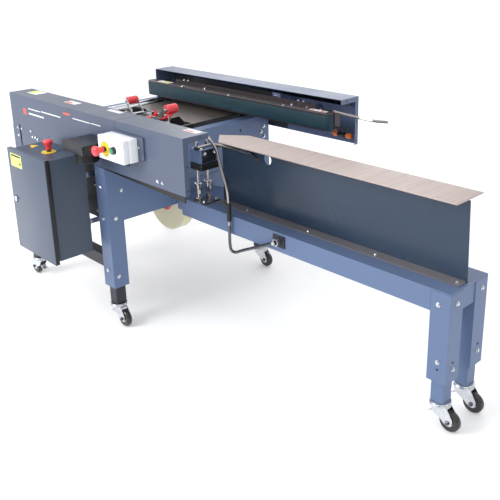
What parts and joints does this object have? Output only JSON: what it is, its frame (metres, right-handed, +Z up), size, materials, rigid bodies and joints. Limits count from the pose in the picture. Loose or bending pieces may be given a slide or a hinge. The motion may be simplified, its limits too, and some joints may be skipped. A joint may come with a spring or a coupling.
{
  "type": "semi automatic case sealer with packing table",
  "caption": "Side-belt carton sealing machine on casters: driven belts over a bottom tape head, blade-shaped packing table with flap folder at the infeed, cabinet at the side.",
  "frame": {"origin": "on the floor, under the middle of the bounding box", "axes": "+X along the machine from the discharge end to the packing table, +Y from the electrical cabinet's side to the far side, +Z up"},
  "size_m": [2.2794, 1.181, 0.952],
  "materials": {
    "steel_blue": "semi-gloss blue-grey powder coat",
    "cover_blue": "semi-gloss grey-blue powder coat",
    "cabinet_blue": "semi-gloss dark blue-grey powder coat",
    "black_paint": "satin black",
    "zinc": "bright zinc plate",
    "steel": "brushed, slightly warm",
    "belt": "matt dark teal",
    "wheel": "black",
    "red_plastic": "gloss red",
    "white_plastic": "fine texture white",
    "green_plastic": "gloss green",
    "orange_plastic": "gloss orange",
    "blue_hose": "gloss blue polyurethane",
    "tape": "clear tape wound on a core",
    "red_arm": "gloss red paint"
  },
  "bodies": {
    "frame": {"infeed_frame": "steel_blue", "discharge_frame": "steel_blue", "packing_legs": "steel_blue", "lower_frame": "cabinet_blue", "bed": "steel", "cover_near": "cover_blue", "cover_far": "cover_blue", "motor_cover": "black_paint", "control_box": "white_plastic", "cabinet": "cabinet_blue", "tape_head": "black_paint", "packing_beam": "steel_blue", "table_web": "steel_blue", "table_top": "steel", "folder_posts": "zinc", "air_fitting": "orange_plastic", "air_hose": "blue_hose"},
    "leg_infeed_near": {"inner_leg_infeed_near": "black_paint"},
    "swivel_infeed_near": {"fork_infeed_near": "zinc"},
    "roll_infeed_near": {"wheel_infeed_near": "wheel"},
    "brake_infeed_near": {"brake_infeed_near": "zinc"},
    "leg_infeed_far": {"inner_leg_infeed_far": "black_paint"},
    "swivel_infeed_far": {"fork_infeed_far": "zinc"},
    "roll_infeed_far": {"wheel_infeed_far": "wheel"},
    "leg_discharge_near": {"inner_leg_discharge_near": "black_paint"},
    "swivel_discharge_near": {"fork_discharge_near": "zinc"},
    "roll_discharge_near": {"wheel_discharge_near": "wheel"},
    "brake_discharge_near": {"brake_discharge_near": "zinc"},
    "leg_discharge_far": {"inner_leg_discharge_far": "black_paint"},
    "swivel_discharge_far": {"fork_discharge_far": "zinc"},
    "roll_discharge_far": {"wheel_discharge_far": "wheel"},
    "leg_packing_near": {"inner_leg_packing_near": "steel_blue"},
    "swivel_packing_near": {"fork_packing_near": "zinc"},
    "roll_packing_near": {"wheel_packing_near": "wheel"},
    "brake_packing_near": {"brake_packing_near": "zinc"},
    "leg_packing_far": {"inner_leg_packing_far": "steel_blue"},
    "swivel_packing_far": {"fork_packing_far": "zinc"},
    "roll_packing_far": {"wheel_packing_far": "wheel"},
    "brake_packing_far": {"brake_packing_far": "zinc"},
    "drive_far": {"carriage_far": "steel", "belt_far": "belt"},
    "drive_near": {"carriage_near": "steel", "belt_near": "belt"},
    "idler_far": {"pulley_far": "zinc"},
    "idler_near": {"pulley_near": "zinc"},
    "bed_roller_1": {"bed_roller_1": "zinc"},
    "bed_roller_2": {"bed_roller_2": "zinc"},
    "arm_front": {"roller_arm_front": "red_arm"},
    "arm_rear": {"roller_arm_rear": "zinc"},
    "roller_front": {"tape_roller_front": "red_plastic"},
    "roller_rear": {"tape_roller_rear": "red_plastic"},
    "tape_supply": {"tape_roll": "tape", "tape_hub": "red_plastic"},
    "folder": {"folder_block": "steel_blue"},
    "lever": {"folder_lever": "zinc"},
    "control_stop": {"control_stop": "red_plastic"},
    "control_start": {"control_start": "green_plastic"},
    "cabinet_stop": {"cabinet_stop": "red_plastic"},
    "door": {"cabinet_door": "cover_blue"},
    "lock": {"cabinet_lock": "zinc"}
  },
  "joints": [
    {"name": "height_infeed_near", "type": "slide", "parent": "frame", "child": "leg_infeed_near", "axis": [0, 0, 1], "range_m": [-0.11, 0.07]},
    {"name": "height_infeed_far", "type": "slide", "parent": "frame", "child": "leg_infeed_far", "axis": [0, 0, 1], "range_m": [-0.11, 0.07]},
    {"name": "height_discharge_near", "type": "slide", "parent": "frame", "child": "leg_discharge_near", "axis": [0, 0, 1], "range_m": [-0.11, 0.07]},
    {"name": "height_discharge_far", "type": "slide", "parent": "frame", "child": "leg_discharge_far", "axis": [0, 0, 1], "range_m": [-0.11, 0.07]},
    {"name": "height_packing_near", "type": "slide", "parent": "frame", "child": "leg_packing_near", "axis": [0, 0, 1], "range_m": [-0.11, 0.07]},
    {"name": "height_packing_far", "type": "slide", "parent": "frame", "child": "leg_packing_far", "axis": [0, 0, 1], "range_m": [-0.11, 0.07]},
    {"name": "width_far", "type": "slide", "parent": "frame", "child": "drive_far", "axis": [0, -1, 0], "range_m": [0, 0.09]},
    {"name": "width_near", "type": "slide", "parent": "frame", "child": "drive_near", "axis": [0, 1, 0], "range_m": [0, 0.09]},
    {"name": "arm_front_swing", "type": "hinge", "parent": "frame", "child": "arm_front", "pos_m": [-0.5955, 0.1085, 0.77], "axis": [0, 1, 0], "range_deg": [0, 32], "stiffness_Nm_per_rad": 30, "springref_deg": -8.59},
    {"name": "arm_rear_swing", "type": "hinge", "parent": "frame", "child": "arm_rear", "pos_m": [-0.7055, 0.1085, 0.77], "axis": [0, 1, 0], "range_deg": [-48, 0], "stiffness_Nm_per_rad": 10, "springref_deg": 8.59},
    {"name": "folder_press", "type": "slide", "parent": "frame", "child": "folder", "axis": [0, 0, -1], "range_m": [0, 0.06], "stiffness_N_per_m": 900, "springref_m": -0.04},
    {"name": "lever_swing", "type": "hinge", "parent": "frame", "child": "lever", "pos_m": [0.3375, -0.0175, 0.486], "axis": [0, 1, 0], "range_deg": [-8, 12]},
    {"name": "door_swing", "type": "hinge", "parent": "frame", "child": "door", "pos_m": [-0.3815, -0.5695, 0.571], "axis": [0, 0, 1], "range_deg": [0, 120]},
    {"name": "lock_turn", "type": "hinge", "parent": "door", "child": "lock", "pos_m": [-0.6675, -0.5815, 0.573], "axis": [0, 1, 0], "range_deg": [0, 90]},
    {"name": "control_stop_press", "type": "slide", "parent": "frame", "child": "control_stop", "axis": [0, 1, 0], "range_m": [0, 0.004], "stiffness_N_per_m": 1500, "springref_m": -0.002},
    {"name": "control_start_press", "type": "slide", "parent": "frame", "child": "control_start", "axis": [0, 1, 0], "range_m": [0, 0.003], "stiffness_N_per_m": 1500, "springref_m": -0.002},
    {"name": "cabinet_stop_press", "type": "slide", "parent": "frame", "child": "cabinet_stop", "axis": [0, 0, -1], "range_m": [0, 0.004], "stiffness_N_per_m": 1500, "springref_m": -0.002},
    {"name": "swivel_infeed_near", "type": "hinge", "parent": "leg_infeed_near", "child": "swivel_infeed_near", "pos_m": [-0.343, -0.326, 0.095], "axis": [0, 0, 1], "continuous": true},
    {"name": "swivel_infeed_far", "type": "hinge", "parent": "leg_infeed_far", "child": "swivel_infeed_far", "pos_m": [-0.343, 0.543, 0.095], "axis": [0, 0, 1], "continuous": true},
    {"name": "swivel_discharge_near", "type": "hinge", "parent": "leg_discharge_near", "child": "swivel_discharge_near", "pos_m": [-1.06, -0.326, 0.095], "axis": [0, 0, 1], "continuous": true},
    {"name": "swivel_discharge_far", "type": "hinge", "parent": "leg_discharge_far", "child": "swivel_discharge_far", "pos_m": [-1.06, 0.543, 0.095], "axis": [0, 0, 1], "continuous": true},
    {"name": "swivel_packing_near", "type": "hinge", "parent": "leg_packing_near", "child": "swivel_packing_near", "pos_m": [1.06, 0.034, 0.095], "axis": [0, 0, 1], "continuous": true},
    {"name": "swivel_packing_far", "type": "hinge", "parent": "leg_packing_far", "child": "swivel_packing_far", "pos_m": [1.06, 0.183, 0.095], "axis": [0, 0, 1], "continuous": true},
    {"name": "brake_infeed_near", "type": "hinge", "parent": "swivel_infeed_near", "child": "brake_infeed_near", "pos_m": [-0.349, -0.326, 0.062], "axis": [0, -1, 0], "range_deg": [0, 12]},
    {"name": "brake_discharge_near", "type": "hinge", "parent": "swivel_discharge_near", "child": "brake_discharge_near", "pos_m": [-1.054, -0.326, 0.062], "axis": [0, 1, 0], "range_deg": [0, 12]},
    {"name": "brake_packing_near", "type": "hinge", "parent": "swivel_packing_near", "child": "brake_packing_near", "pos_m": [1.054, 0.034, 0.062], "axis": [0, -1, 0], "range_deg": [0, 12]},
    {"name": "brake_packing_far", "type": "hinge", "parent": "swivel_packing_far", "child": "brake_packing_far", "pos_m": [1.054, 0.183, 0.062], "axis": [0, -1, 0], "range_deg": [0, 12]},
    {"name": "tape_spin", "type": "hinge", "parent": "frame", "child": "tape_supply", "pos_m": [-0.5055, 0.1085, 0.43], "axis": [0, 1, 0], "continuous": true},
    {"name": "idler_far", "type": "hinge", "parent": "drive_far", "child": "idler_far", "pos_m": [0.2145, 0.4225, 0.869], "axis": [0, 0, 1], "continuous": true},
    {"name": "idler_near", "type": "hinge", "parent": "drive_near", "child": "idler_near", "pos_m": [-0.0255, -0.2055, 0.869], "axis": [0, 0, 1], "continuous": true},
    {"name": "roller_front_spin", "type": "hinge", "parent": "arm_front", "child": "roller_front", "pos_m": [-0.4605, 0.1085, 0.877], "axis": [0, 1, 0], "continuous": true},
    {"name": "roller_rear_spin", "type": "hinge", "parent": "arm_rear", "child": "roller_rear", "pos_m": [-0.7725, 0.1085, 0.877], "axis": [0, 1, 0], "continuous": true},
    {"name": "bed_roller_1_spin", "type": "hinge", "parent": "frame", "child": "bed_roller_1", "pos_m": [-0.9455, 0.1085, 0.799], "axis": [0, 1, 0], "continuous": true},
    {"name": "bed_roller_2_spin", "type": "hinge", "parent": "frame", "child": "bed_roller_2", "pos_m": [-0.9975, 0.1085, 0.799], "axis": [0, 1, 0], "continuous": true},
    {"name": "roll_infeed_near", "type": "hinge", "parent": "swivel_infeed_near", "child": "roll_infeed_near", "pos_m": [-0.301, -0.326, 0.038], "axis": [0, 1, 0], "continuous": true},
    {"name": "roll_infeed_far", "type": "hinge", "parent": "swivel_infeed_far", "child": "roll_infeed_far", "pos_m": [-0.301, 0.543, 0.038], "axis": [0, 1, 0], "continuous": true},
    {"name": "roll_discharge_near", "type": "hinge", "parent": "swivel_discharge_near", "child": "roll_discharge_near", "pos_m": [-1.102, -0.326, 0.038], "axis": [0, 1, 0], "continuous": true},
    {"name": "roll_discharge_far", "type": "hinge", "parent": "swivel_discharge_far", "child": "roll_discharge_far", "pos_m": [-1.102, 0.543, 0.038], "axis": [0, 1, 0], "continuous": true},
    {"name": "roll_packing_near", "type": "hinge", "parent": "swivel_packing_near", "child": "roll_packing_near", "pos_m": [1.102, 0.034, 0.038], "axis": [0, 1, 0], "continuous": true},
    {"name": "roll_packing_far", "type": "hinge", "parent": "swivel_packing_far", "child": "roll_packing_far", "pos_m": [1.102, 0.183, 0.038], "axis": [0, 1, 0], "continuous": true}
  ],
  "couplings": [
    {"joint": "height_infeed_far", "follows": "height_infeed_near", "ratio": 1},
    {"joint": "height_discharge_near", "follows": "height_infeed_near", "ratio": 1},
    {"joint": "height_discharge_far", "follows": "height_infeed_near", "ratio": 1},
    {"joint": "height_packing_near", "follows": "height_infeed_near", "ratio": 1},
    {"joint": "height_packing_far", "follows": "height_infeed_near", "ratio": 1},
    {"joint": "width_near", "follows": "width_far", "ratio": 1},
    {"joint": "arm_rear_swing", "follows": "arm_front_swing", "ratio": -1.5}
  ]
}
